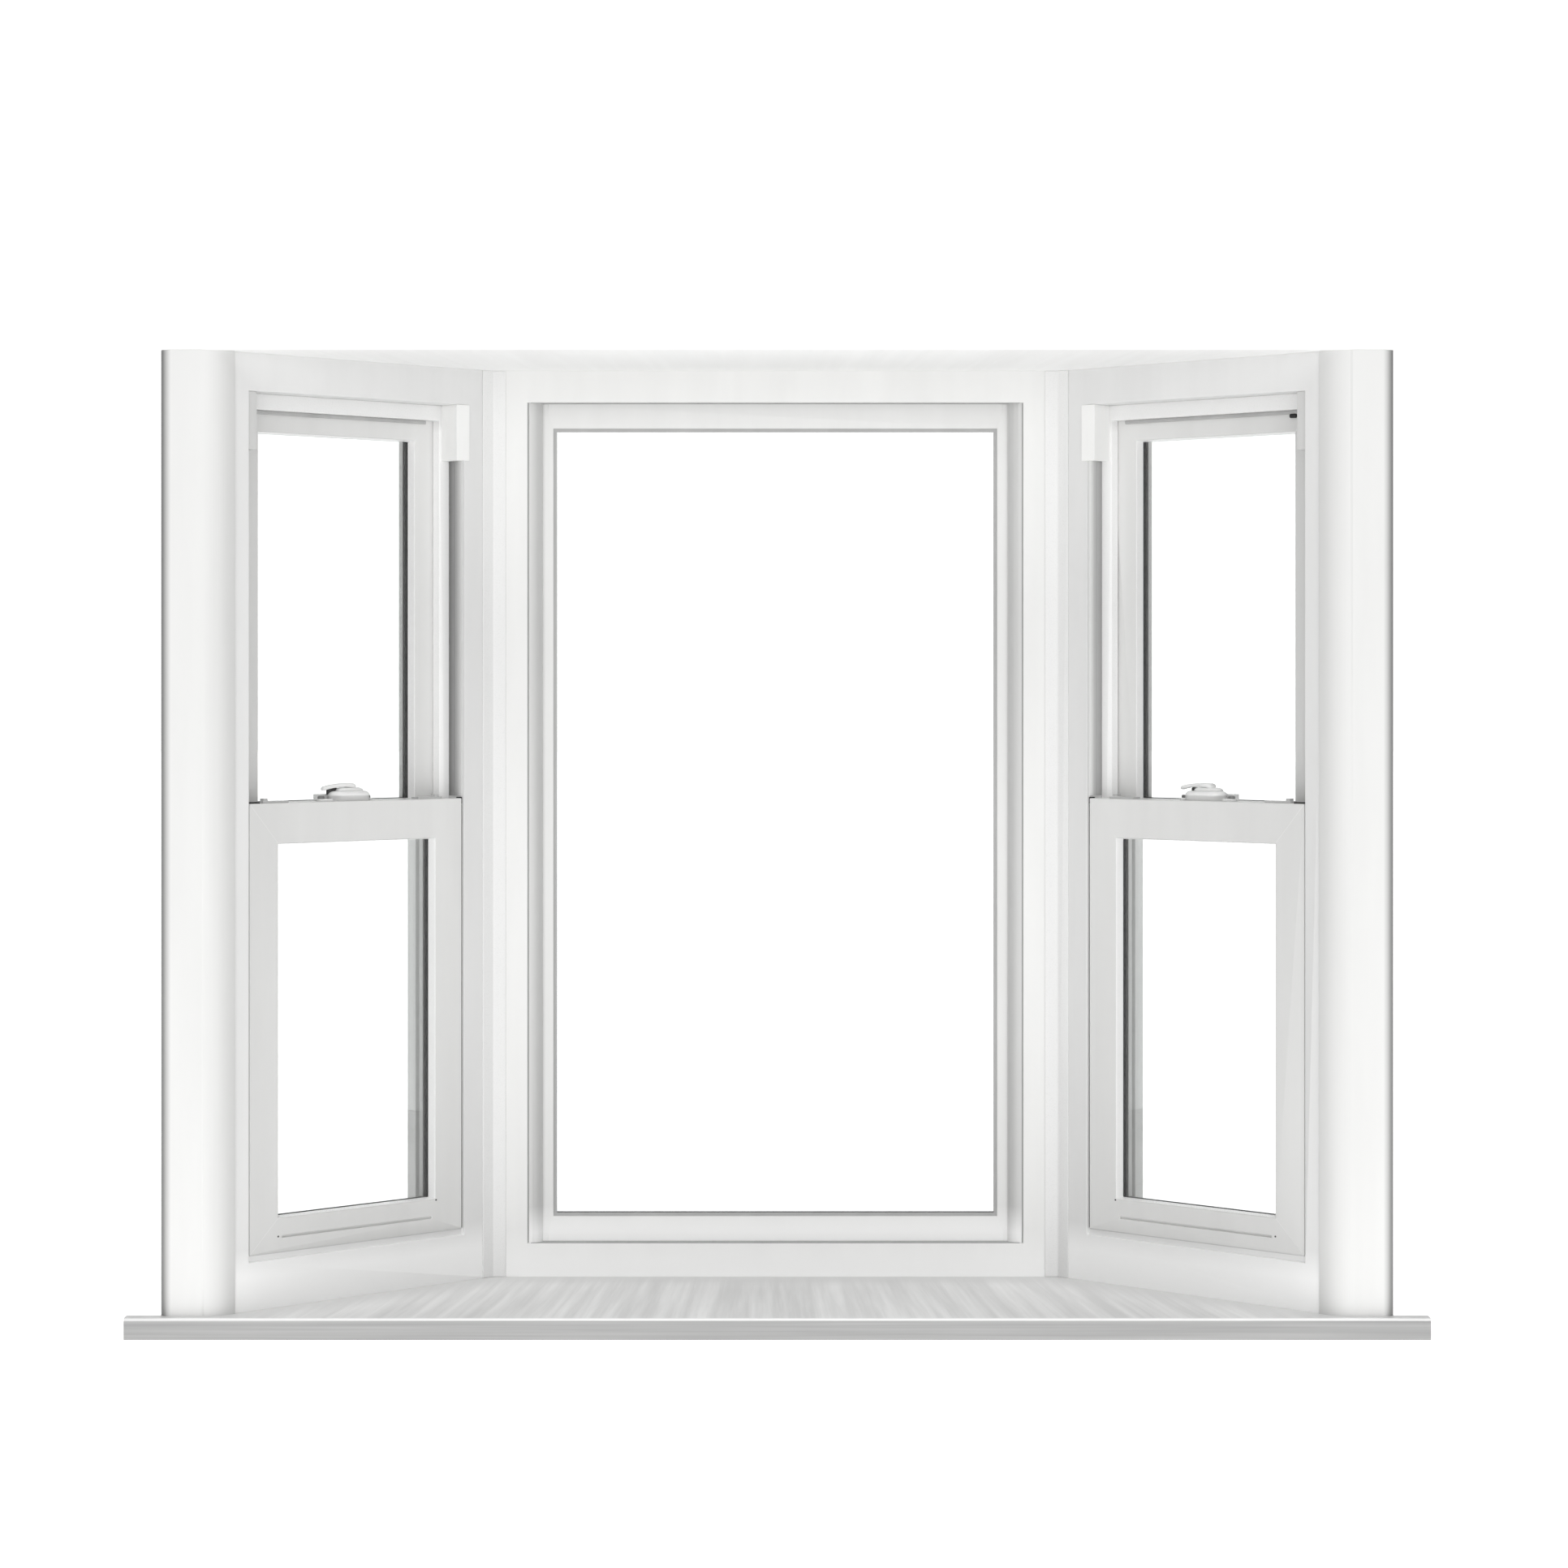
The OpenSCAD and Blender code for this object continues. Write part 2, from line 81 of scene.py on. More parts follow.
camera_data = bpy.data.cameras.new("camera")
camera_data.sensor_width = CAMERA_SENSOR
camera_data.lens = CAMERA_LENS
camera_data.shift_x, camera_data.shift_y = CAMERA_SHIFT
camera_data.clip_end = CAMERA_REACH
camera = bpy.data.objects.new("camera", camera_data)
camera.location = CAMERA_AT
camera.rotation_euler = LEVEL_AHEAD
bpy.context.scene.collection.objects.link(camera)
bpy.context.scene.camera = camera
bpy.context.scene.view_settings.view_transform = "Standard"


# ---------------------------------------------------------------- side windows' own axes

# Each side window turns back 45 degrees from the centre frame's corner: u runs along its
# face, t from its room face outwards, z up.

DIAGONAL = math.sqrt(0.5)
ROOM_FACE_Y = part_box("center_frame")[0].y
CORNER_X = min((v.co.x + v.co.y) for v in nodes["right_frame"].data.vertices) - ROOM_FACE_Y


def local(side, point):
    """A point in the row frame as (u, t, z) of that side's window."""
    x = (point.x if side == "right" else -point.x) - CORNER_X
    y = point.y - ROOM_FACE_Y
    return Vector(((x - y) * DIAGONAL, (x + y) * DIAGONAL, point.z))


def world(side, point):
    """(u, t, z) of a side's window as a point in the row frame."""
    u, t, z = point
    x = CORNER_X + (u + t) * DIAGONAL
    return Vector((x if side == "right" else -x, ROOM_FACE_Y + (t - u) * DIAGONAL, z))


def local_box(node_name):
    """(lowest, highest) corner of a node in its side window's axes."""
    side = node_name.split("_")[0]
    points = [local(side, v.co) for v in nodes[node_name].data.vertices]
    low = Vector([min(p[i] for p in points) for i in range(3)])
    high = Vector([max(p[i] for p in points) for i in range(3)])
    return low, high


# ---------------------------------------------------------------- materials

def shader(name):
    """A new node material: its tree and its Principled node, wired to the output."""
    material = bpy.data.materials.new(name)
    material.use_nodes = True
    tree = material.node_tree
    tree.nodes.clear()
    out = tree.nodes.new("ShaderNodeOutputMaterial")
    bsdf = tree.nodes.new("ShaderNodeBsdfPrincipled")
    tree.links.new(bsdf.outputs[0], out.inputs["Surface"])
    return material, tree, bsdf


def add(tree, kind, links=(), **values):
    """A node with its inputs set or linked by name. A value that is a socket is linked."""
    node = tree.nodes.new(kind)
    for key, value in values.items():
        setattr(node, key, value)
    for name, value in dict(links).items():
        socket = node.inputs[name]
        if isinstance(value, bpy.types.NodeSocket):
            tree.links.new(value, socket)
        else:
            socket.default_value = value
    return node


def stretched(tree, scale):
    """Object coordinates, in metres, times a scale for each axis."""
    place = add(tree, "ShaderNodeTexCoord")
    mapping = add(tree, "ShaderNodeMapping", {"Vector": place.outputs["Object"], "Scale": scale})
    return mapping.outputs["Vector"]


def ramp(tree, factor, stops):
    """A colour ramp: stops are (position, colour)."""
    node = add(tree, "ShaderNodeValToRGB", {"Fac": factor})
    while len(node.color_ramp.elements) < len(stops):
        node.color_ramp.elements.new(0.5)
    for element, (position, colour) in zip(node.color_ramp.elements, stops):
        element.position = position
        element.color = (*colour, 1)
    return node.outputs["Color"]


NOISE_LOW = 0.3
NOISE_HIGH = 0.7
BRIGHTEST = 0.97
WARMTH = 0.006


def gray(level, warm=WARMTH):
    """A nearly neutral gray, a little short of blue."""
    return (level, level, level * (1 - warm))


def separated(tree, vector):
    """The X, Y and Z outputs of a vector."""
    return add(tree, "ShaderNodeSeparateXYZ", {"Vector": vector}).outputs


def object_place(tree):
    """The X, Y and Z outputs of the place on the object, in metres."""
    return separated(tree, add(tree, "ShaderNodeTexCoord").outputs["Object"])


def facing(tree):
    """The X, Y and Z outputs of the surface's normal."""
    return separated(tree, add(tree, "ShaderNodeNewGeometry").outputs["Normal"])


def math_node(tree, operation, *values):
    """One sum: its operands are sockets or numbers."""
    node = add(tree, "ShaderNodeMath", dict(enumerate(values)), operation=operation)
    return node.outputs[0]


def mixed(tree, share, first, second, blend="MIX"):
    """Two colours mixed by a share."""
    return add(tree, "ShaderNodeMixRGB", {"Fac": share, "Color1": first, "Color2": second},
               blend_type=blend).outputs["Color"]


def rescaled(tree, value, span, to=(0.0, 1.0), interpolation="LINEAR"):
    """A value mapped from one span to another."""
    node = add(tree, "ShaderNodeMapRange", {
        "Value": value, "From Min": span[0], "From Max": span[1],
        "To Min": to[0], "To Max": to[1]}, interpolation_type=interpolation)
    return node.outputs["Result"]


def noise(tree, vector, scale, detail, **links):
    """A noise texture's factor."""
    values = {"Vector": vector, "Scale": scale, "Detail": detail, **links}
    return add(tree, "ShaderNodeTexNoise", values).outputs["Fac"]


def bumped(tree, bsdf, height, strength, distance):
    """A bump on the material from a height."""
    relief = add(tree, "ShaderNodeBump", {
        "Height": height, "Strength": strength, "Distance": distance})
    tree.links.new(relief.outputs["Normal"], bsdf.inputs["Normal"])


def shaded(tree, colour, kind, stops):
    """A colour times a share that follows a direction or a place, as (value, share) stops:
    painted shade and light.

    outward: how far a face looks away from the middle, -1 to 1; across: distance from
    the middle, in metres.
    """
    x = object_place(tree)["X"]
    if kind == "outward":
        value = math_node(tree, "MULTIPLY", facing(tree)["X"], math_node(tree, "SIGN", x))
    else:
        value = math_node(tree, "ABSOLUTE", x)
    low, high = stops[0][0], stops[-1][0]
    along = rescaled(tree, value, (low, high))
    share = ramp(tree, along, [((at - low) / (high - low), gray(part)) for at, part in stops])
    return mixed(tree, 1.0, colour, share, "MULTIPLY")


CLOUD_STRETCH = (1, 1, 0.12)
CLOUD_SCALE = 26.0
PEBBLE_DEPTH = 0.0004
ROUGHNESS_SWING = 0.05
VINYL_IOR = 1.46


def plastic(name, level, roughness=0.38, grain=900, bump=0.02, mottle=0.022,
            foot=None, shades=()):
    """Moulded white vinyl: faint mottling and extrusion lines along Z, and a fine pebble.

    foot is (another colour level, full at this height, gone at this height): painted light
    where that level is lighter, painted shade where it is darker; shades are (kind, stops)
    for shaded(), painted shade and light.
    """
    material, tree, bsdf = shader(name)
    cloud = noise(tree, stretched(tree, CLOUD_STRETCH), CLOUD_SCALE, 4.0)
    colour = ramp(tree, cloud, [
        (NOISE_LOW, gray(level * (1 - mottle))),
        (NOISE_HIGH, gray(min(level * (1 + mottle), BRIGHTEST)))])
    for kind, stops in shades:
        colour = shaded(tree, colour, kind, stops)
    if foot:
        fade = rescaled(tree, object_place(tree)["Z"], foot[1:], (1.0, 0.0))
        colour = mixed(tree, fade, colour, (*gray(foot[0]), 1))
    tree.links.new(colour, bsdf.inputs["Base Color"])
    pebble = noise(tree, stretched(tree, (1, 1, 1)), grain, 2.0)
    rough = rescaled(tree, pebble, (NOISE_LOW, NOISE_HIGH),
                     (roughness - ROUGHNESS_SWING, roughness + ROUGHNESS_SWING))
    tree.links.new(rough, bsdf.inputs["Roughness"])
    bumped(tree, bsdf, pebble, bump, PEBBLE_DEPTH)
    bsdf.inputs["IOR"].default_value = VINYL_IOR
    return material


GRAIN_FAN = 0.35
GRAIN_SCALE = (62, 2.0, 62)
GRAIN_STOPS = (0.36, 0.52, 0.66)
GRAIN_BUMP = 0.12
GRAIN_DEPTH = 0.0006
GRAIN_ROUGHNESS = (0.5, 0.36)
EDGE_GRAIN_SCALE = (3, 60, 260)
EDGE_DARK = 0.86
EDGE_LIGHT = 1.12
FRONT_NORMALS = (-0.985, -0.9)
LIP_NORMALS = (-0.05, -0.25)


def fanned_grain(tree, place):
    """Wood grain from front to back whose lines fan out towards the room."""
    spread = math_node(tree, "MULTIPLY_ADD", place["Y"], GRAIN_FAN, 1.0)
    lines = add(tree, "ShaderNodeCombineXYZ", {
        "X": math_node(tree, "MULTIPLY", place["X"], spread), "Y": place["Y"], "Z": place["Z"]})
    across = add(tree, "ShaderNodeMapping", {
        "Vector": lines.outputs["Vector"], "Scale": GRAIN_SCALE})
    return noise(tree, across.outputs["Vector"], 1.0, 5.0, Roughness=0.6)


def near_windows(tree, place, width):
    """A share that rises to 1 at the foot of the three windows, over a width: the mask of the
    painted shade there.
    """
    behind = math_node(tree, "SUBTRACT", place["Y"], ROOM_FACE_Y)
    aside = math_node(tree, "SUBTRACT", math_node(tree, "ABSOLUTE", place["X"]), CORNER_X)
    slant = math_node(tree, "MULTIPLY", math_node(tree, "ADD", aside, behind), DIAGONAL)
    nearest = math_node(tree, "MAXIMUM", behind, slant)
    return rescaled(tree, nearest, (-width, 0.0), interpolation="SMOOTHSTEP")


def board(name, top, edge, lip, streak, shade_band=None):
    """White-stained wood, grain from front to back; its front edge is darker, with a painted
    highlight along its rounded lip.

    band is (width, level) of the painted shade along the foot of the windows.
    """
    material, tree, bsdf = shader(name)
    towards = facing(tree)["Y"]
    place = object_place(tree)
    grain = fanned_grain(tree, place)
    face = ramp(tree, grain, [
        (at, gray(top * (1 + way * streak))) for at, way in zip(GRAIN_STOPS, (-1, 0, 1))])
    along = noise(tree, stretched(tree, EDGE_GRAIN_SCALE), 1.0, 4.0)
    front = ramp(tree, along, [
        (NOISE_LOW, gray(edge * EDGE_DARK)), (NOISE_HIGH, gray(edge * EDGE_LIGHT))])
    # Painted shade on the board along the foot of the windows
    if shade_band:
        face = mixed(tree, near_windows(tree, place, shade_band[0]), face, (*gray(shade_band[1]), 1))
    # Painted highlight on the rounded lip of the front edge
    lip_highlight = mixed(tree, rescaled(tree, towards, LIP_NORMALS), face, (*gray(lip), 1))
    both = mixed(tree, rescaled(tree, towards, FRONT_NORMALS, (1.0, 0.0)), lip_highlight, front)
    tree.links.new(both, bsdf.inputs["Base Color"])
    bumped(tree, bsdf, grain, GRAIN_BUMP, GRAIN_DEPTH)
    rough = rescaled(tree, grain, (NOISE_LOW, NOISE_HIGH), GRAIN_ROUGHNESS)
    tree.links.new(rough, bsdf.inputs["Roughness"])
    return material


GLASS_IOR = 1.45
GLASS_WAVE_SCALE = 1.5
GLASS_TINTS = ((0.985, 0.995, 0.99), (0.995, 1.0, 0.997))


def clear_glass(name):
    """Clear float glass, with a very faint unevenness of tint."""
    material, tree, bsdf = shader(name)
    bsdf.inputs["Transmission Weight"].default_value = 1.0
    bsdf.inputs["Roughness"].default_value = 0.0
    bsdf.inputs["IOR"].default_value = GLASS_IOR
    wave = noise(tree, stretched(tree, (1, 1, 1)), GLASS_WAVE_SCALE, 1.0)
    tint = ramp(tree, wave, list(zip((NOISE_LOW, NOISE_HIGH), GLASS_TINTS)))
    tree.links.new(tint, bsdf.inputs["Base Color"])
    return material


TRACK_SPAN = (4 * MM, 27 * MM)
TRACK_KNEE = 0.45
KNEE_SHARE = 0.42
BRUSHED_SCALE = (700, 700, 8)
BRUSHED_ROUGHNESS = (0.4, 0.6)


def track_gray(name, light, dark):
    """The liner of a sash track: darker towards the parting stop, painted shade in the channel's
    depth.
    """
    material, tree, bsdf = shader(name)
    place = add(tree, "ShaderNodeTexCoord")
    mirrored = add(tree, "ShaderNodeVectorMath", {0: place.outputs["Object"]},
                   operation="ABSOLUTE")
    depth = add(tree, "ShaderNodeVectorMath", {
        0: mirrored.outputs["Vector"], 1: (DIAGONAL, DIAGONAL, 0)}, operation="DOT_PRODUCT")
    start = (CORNER_X + ROOM_FACE_Y) * DIAGONAL
    shade = rescaled(tree, depth.outputs["Value"], (start + TRACK_SPAN[0], start + TRACK_SPAN[1]))
    colour = ramp(tree, shade, [
        (0.0, gray(light)), (TRACK_KNEE, gray((light + dark) * KNEE_SHARE)), (1.0, gray(dark))])
    tree.links.new(colour, bsdf.inputs["Base Color"])
    brushed = noise(tree, stretched(tree, BRUSHED_SCALE), 1.0, 2.0)
    rough = rescaled(tree, brushed, (0.0, 1.0), BRUSHED_ROUGHNESS)
    tree.links.new(rough, bsdf.inputs["Roughness"])
    return material


# Where the painted shade and light of the materials begin and end
SEAT_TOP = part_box("seat_board")[1].z
POST_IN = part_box("right_wall_post")[0].x
POST_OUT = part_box("right_wall_post")[1].x
STOP_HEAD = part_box("right_parting_stop")[1].z
CAP_MIDDLE = sum(corner.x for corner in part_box("right_track_caps")) / 2
BEAD_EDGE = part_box("center_glazing_bead")[1].x
BEAD_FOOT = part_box("center_glazing_bead")[0].z
# Painted shade in the cove at the sides of the centre bead, darkest partway in from its edge
BEAD_SHADE = (
    (BEAD_EDGE - 21 * MM, 1.0),
    (BEAD_EDGE - 17 * MM, 0.78),
    (BEAD_EDGE - 12 * MM, 0.72),
    (BEAD_EDGE, 0.90),
)
# Painted shade on the posts, along the seam with the frames and round their outer edge
POST_SHADE = (
    (POST_IN, 0.82),
    (POST_IN + 8 * MM, 0.87),
    (POST_IN + 18 * MM, 0.94),
    (POST_IN + 36 * MM, 1.0),
    (POST_OUT - 13 * MM, 1.0),
    (POST_OUT - 8 * MM, 0.70),
    (POST_OUT - 4 * MM, 0.35),
    (POST_OUT, 0.16),
)
# Painted shade on the track caps nearer the posts
CAP_SHADE = ((CAP_MIDDLE - 1 * MM, 1.0), (CAP_MIDDLE, 0.68))
# Painted shade on the sashes, darker towards the posts
SASH_SHADE = ((0.40, 1.0), (0.62, 0.88))
# Painted shade on faces of the centre frame that turn sideways, most where they look towards the
# middle
OUTWARD_SHADE = ((-1.0, 0.6), (-0.6, 0.95), (0.0, 1.0), (1.0, 0.9))

# A plastic's second value is its colour level
# Lighter at the foot of the frames by the seat: painted light
VINYL = plastic("vinyl", 0.765, foot=(0.97, SEAT_TOP + 38 * MM, SEAT_TOP + 72 * MM))
SASH_VINYL = plastic("sash_vinyl", 0.765, shades=[("across", SASH_SHADE)])
# Lighter along the bead's bottom bar (painted light) and darker in the cove at its sides (painted
# shade)
BEAD_VINYL = plastic("bead_vinyl", 0.79, foot=(0.97, BEAD_FOOT + 12 * MM, BEAD_FOOT + 45 * MM),
                     shades=[("across", BEAD_SHADE)])
# A lighter copy of the vinyl, painted light on the centre frame; lighter still at its foot by the
# seat (painted light) and darker on faces that turn sideways (painted shade)
CENTER_VINYL = plastic("center_vinyl", 0.835,
                       foot=(0.97, SEAT_TOP + 5 * MM, SEAT_TOP + 60 * MM),
                       shades=[("outward", OUTWARD_SHADE)])
CAP_VINYL = plastic("cap_vinyl", 0.91, roughness=0.32, shades=[("across", CAP_SHADE)])
# Darker at the parting stop's head, under the head board: painted shade
STOP_VINYL = plastic("bright_vinyl", 0.965, roughness=0.3,
                     foot=(0.84, STOP_HEAD - 22 * MM, STOP_HEAD - 34 * MM))
WELD_VINYL = plastic("weld_vinyl", 0.76, roughness=0.5)
LATCH_GRAY = plastic("latch_gray", 0.58, roughness=0.35)
GAP_GRAY = plastic("shadow_gasket", 0.40, roughness=0.6, grain=600, bump=0.05)
# Black for the pile strips beside the lower sashes, and for painted shadow under the lock handles
# and painted shade in the bead's corners
PILE_AND_SHADOW = plastic("black_pile_and_painted_shadow", 0.09, roughness=0.9, grain=1500, bump=0.5, mottle=0.25)
# Gray for the painted shadow under the parting stops' heads
HEAD_SHADOW_GRAY = plastic("painted_head_shadow", 0.44, roughness=0.9, grain=1500, bump=0.5, mottle=0.1)
# Black for the dust plugs, and for the painted shade of the hole under the right window's head
# stop
BLACK = plastic("black_rubber_and_hole_shade", 0.012, roughness=0.5, grain=600, bump=0.05, mottle=0.3)
SCREW = plastic("screw_steel", 0.22, roughness=0.3, grain=300, bump=0.03, mottle=0.1)
POST_VINYL = plastic("post_vinyl", 0.765, roughness=0.42, shades=[("across", POST_SHADE)])
TRIM_VINYL = plastic("trim_vinyl", 0.81, roughness=0.3)
HARDWARE = plastic("white_enamel", 0.86, roughness=0.16, grain=300, bump=0.01)
RUBBER = plastic("gray_gasket", 0.44, roughness=0.6, grain=700, bump=0.1, mottle=0.06)
SPACER = plastic("dark_spacer", 0.012, roughness=0.6, grain=500, bump=0.05, mottle=0.2)
OUTER_TRACK = plastic("outer_track", 0.20, roughness=0.6, grain=600, bump=0.05, mottle=0.1)
# Painted shade on the seat along the foot of the windows, and a painted highlight on its lip
SEAT = board("seat_wood", top=0.82, edge=0.37, lip=0.93, streak=0.105,
             shade_band=(85 * MM, 0.68))
# A lighter copy of the seat's wood: painted light on the soffit
SOFFIT = board("head_wood", top=0.965, edge=0.97, lip=0.97, streak=0.02)
GLASS = clear_glass("clear_glass")

# Painted shade in the inner tracks, deeper on the left than on the right
TRACKS = {
    "left": track_gray("left_track_liner", 0.74, 0.16),
    "right": track_gray("right_track_liner", 0.9, 0.34),
}

# The first of these words that is in a node's name gives its material
MATERIAL_OF = {
    "glass": GLASS,
    "latches": LATCH_GRAY,
    "lock": HARDWARE,
    "caps": CAP_VINYL,
    "stop": STOP_VINYL,
    "sash": SASH_VINYL,
    "trim": TRIM_VINYL,
    "cover": TRIM_VINYL,
    "wall_post": POST_VINYL,
    "seat_board": SEAT,
    "head_board": SOFFIT,
    "center_gasket": RUBBER,
    "center_frame": CENTER_VINYL,
    "center_glazing_bead": BEAD_VINYL,
}
for node_name, node in nodes.items():
    material = next((MATERIAL_OF[word] for word in MATERIAL_OF if word in node_name), VINYL)
    node.data.materials.clear()
    node.data.materials.append(material)


# ---------------------------------------------------------------- soft edges

FRAME_EDGE = 0.9 * MM
HARDWARE_EDGE = 0.6 * MM
SHARP_ANGLE = math.radians(32)
WELD_REACH = 0.02 * MM


def bevelled(item, width, segments=2):
    """A bevel modifier on the sharp edges."""
    bevel = item.modifiers.new("bevel", "BEVEL")
    bevel.width = width
    bevel.segments = segments
    bevel.limit_method = "ANGLE"
    bevel.angle_limit = SHARP_ANGLE


for node_name, node in nodes.items():
    if "glass" in node_name or "gasket" in node_name:
        continue
    weld = node.modifiers.new("weld", "WELD")
    weld.merge_threshold = WELD_REACH
    is_hardware = "lock" in node_name or "latch" in node_name
    bevelled(node, HARDWARE_EDGE if is_hardware else FRAME_EDGE)


# ---------------------------------------------------------------- making pieces

DOUBLE_REACH = 0.001 * MM


def finish_mesh(name, bm, material, replaced=(), bevel=0.0, segments=2, smooth=False):
    """A piece from a bmesh that is already in the row frame."""
    bmesh.ops.remove_doubles(bm, verts=bm.verts, dist=DOUBLE_REACH)
    bmesh.ops.recalc_face_normals(bm, faces=bm.faces)
    mesh = bpy.data.meshes.new(name)
    bm.to_mesh(mesh)
    bm.free()
    for face in mesh.polygons:
        face.use_smooth = smooth
    piece = bpy.data.objects.new(name, mesh)
    bpy.context.scene.collection.objects.link(piece)
    piece.data.materials.append(material)
    if bevel:
        bevelled(piece, bevel, segments)
    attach(piece, "root")
    if replaced:
        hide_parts(*replaced)


def flat_world(point):
    """The centre window's axes are the row frame's own."""
    return Vector(point)


def side_world(side):
    """The mapping from a side window's axes to the row frame."""
    return lambda point: world(side, point)


def skin(bm, loops, closed=False):
    """Faces between each loop of vertices and the next; closed joins the last to the first."""
    following = loops[1:] + loops[:1] if closed else loops[1:]
    for near, far in zip(loops, following):
        for i in range(len(near)):
            j = (i + 1) % len(near)
            bm.faces.new([near[i], near[j], far[j], far[i]])


def capped(bm, loops):
    """A closed solid from loops of vertices, one after another."""
    skin(bm, loops)
    bm.faces.new(loops[0])
    bm.faces.new(loops[-1])


def corners_of(rect):
    """The four corners of (u0, z0, u1, z1), in order round it."""
    u0, z0, u1, z1 = rect
    return [(u0, z0), (u1, z0), (u1, z1), (u0, z1)]


def add_block(bm, low, high, to_world=flat_world):
    """A box from its two corners, mapped into the row frame."""
    loops = []
    for z in (low[2], high[2]):
        outline = corners_of((low[0], low[1], high[0], high[1]))
        loops.append([bm.verts.new(to_world(Vector((x, y, z)))) for x, y in outline])
    capped(bm, loops)


def add_ring(bm, sections, to_world):
    """A rectangular ring in the (u, z) plane, from (rectangle, depth) pairs round its section."""
    loops = []
    for rect, t in sections:
        loops.append([bm.verts.new(to_world(Vector((u, t, z)))) for u, z in corners_of(rect)])
    skin(bm, loops, closed=True)


def add_flat_ring(bm, outer, inner, front, back, to_world):
    """A rectangular ring of one depth between two rectangles."""
    add_ring(bm, ((outer, front), (outer, back), (inner, back), (inner, front)), to_world)


def rect_of(low, high):
    """(u0, z0, u1, z1) of a box."""
    return (low.x, low.z, high.x, high.z)


def shrunk(rect, by):
    """A rectangle with each side moved inwards."""
    return (rect[0] + by, rect[1] + by, rect[2] - by, rect[3] - by)


def capsule(length, width, count):
    """The outline of a bar with round ends, centred, as (along, across) pairs."""
    radius = width / 2
    straight = max(length / 2 - radius, 0.0)
    outline = []
    for end in (1, -1):
        for i in range(count + 1):
            angle = math.pi * (i / count - 0.5)
            outline.append((end * (straight + radius * math.cos(angle)),
                            end * radius * math.sin(angle)))
    return outline


def stack(bm, centre, length, width, profile, to_world, count=10):
    """A solid of capsule outlines, one on another: profile is (inset, height) pairs."""
    loops = []
    for inset, height in profile:
        loop = []
        for along, across in capsule(length - 2 * inset, width - 2 * inset, count):
            point = Vector((centre.x + along, centre.y + across, centre.z + height))
            loop.append(bm.verts.new(to_world(point)))
        loops.append(loop)
    capped(bm, loops)


TUBE_SQUARENESS = 0.7


def tube(bm, stations, to_world, count=14):
    """A solid swept along u: stations are (u, t, z, half depth, half height)."""
    loops = []
    for u, t, z, half_t, half_z in stations:
        loop = []
        for i in range(count):
            angle = 2 * math.pi * i / count
            c, s = math.cos(angle), math.sin(angle)
            dt = half_t * math.copysign(abs(c) ** TUBE_SQUARENESS, c)
            dz = half_z * math.copysign(abs(s) ** TUBE_SQUARENESS, s)
            loop.append(bm.verts.new(to_world(Vector((u, t + dt, z + dz)))))
        loops.append(loop)
    capped(bm, loops)


def dome(low, high, inset, steps=5):
    """Profile steps from a wall at low up to a rounded shoulder at high."""
    found = []
    for i in range(steps + 1):
        angle = math.pi / 2 * i / steps
        found.append((inset * (1 - math.cos(angle)), low + (high - low) * math.sin(angle)))
    return found


# ---------------------------------------------------------------- double glazing

PANE_T = 2.2 * MM
SPACER_GAP = 0.1 * MM
SPACER_RIM = 0.4 * MM
SPACER_IN = 0.8 * MM
SPACER_LOW = 2.4 * MM
GLASS_BITE = 8 * MM


def glazing(name, low, high, bite, to_world):
    """Two panes and the dark spacer between them, in place of one CAD block."""
    panes = bmesh.new()
    add_block(panes, low, Vector((high.x, low.y + PANE_T, high.z)), to_world)
    add_block(panes, Vector((low.x, high.y - PANE_T, low.z)), high, to_world)
    finish_mesh(name + "_panes", panes, GLASS, [name])
    sight = (low.x + bite - SPACER_IN, low.z + bite - SPACER_LOW,
             high.x - bite + SPACER_IN, high.z - bite + SPACER_LOW)
    spacer = bmesh.new()
    add_flat_ring(spacer, shrunk(rect_of(low, high), SPACER_RIM), sight,
                  low.y + PANE_T + SPACER_GAP, high.y - PANE_T - SPACER_GAP, to_world)
    finish_mesh(name + "_spacer", spacer, SPACER)


center_low, center_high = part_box("center_glass")
center_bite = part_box("center_gasket")[0].x - center_low.x
glazing("center_glass", center_low, center_high, center_bite, flat_world)
for side in SIDES:
    for sash in ("upper", "lower"):
        pane_low, pane_high = local_box(side + "_" + sash + "_glass")
        glazing(side + "_" + sash + "_glass", pane_low, pane_high, GLASS_BITE, side_world(side))


# ---------------------------------------------------------------- side windows' details

SAME_HEIGHT = 5


def stop_foot(side):
    """The height of the underside of a parting stop's head, between its two legs."""
    node = nodes[side + "_parting_stop"]
    heights = sorted({round(vertex.co.z, SAME_HEIGHT) for vertex in node.data.vertices})
    return heights[-2]


def blocks_piece(name, side, blocks, material, bevel=0.0, segments=2):
    """One piece of several boxes in a side window's axes."""
    bm = bmesh.new()
    for low, high in blocks:
        add_block(bm, low, high, side_world(side))
    finish_mesh(name, bm, material, bevel=bevel, segments=segments)


BEAD_PROUD = 0.2 * MM
BEAD_TOP = 0.5 * MM
BEAD_BASE = 1.5 * MM
BEAD_DROP = 1 * MM
BEAD_GAP = 0.1 * MM
BEAD_SINK = {"lower": 0.0, "upper": 1.3 * MM}


def sash_bead(name, side, glass, front, sink):
    """The sloping bead round a sash's glass, on the room side, its foot sunk in the rail."""
    rect = shrunk(rect_of(*glass), GLASS_BITE)
    rect = (rect[0], rect[1] - sink, rect[2], rect[3])
    back = glass[0].y - BEAD_GAP
    bm = bmesh.new()
    add_ring(bm, (
        (rect, front),
        (rect, back),
        (shrunk(rect, BEAD_BASE), back),
        (shrunk(rect, BEAD_TOP), front + BEAD_DROP),
    ), side_world(side))
    finish_mesh(name, bm, STOP_VINYL)


WELD_WIDTH = 0.6 * MM
WELD_PROUD = 0.06 * MM
WELD_SHORT = 1.5 * MM


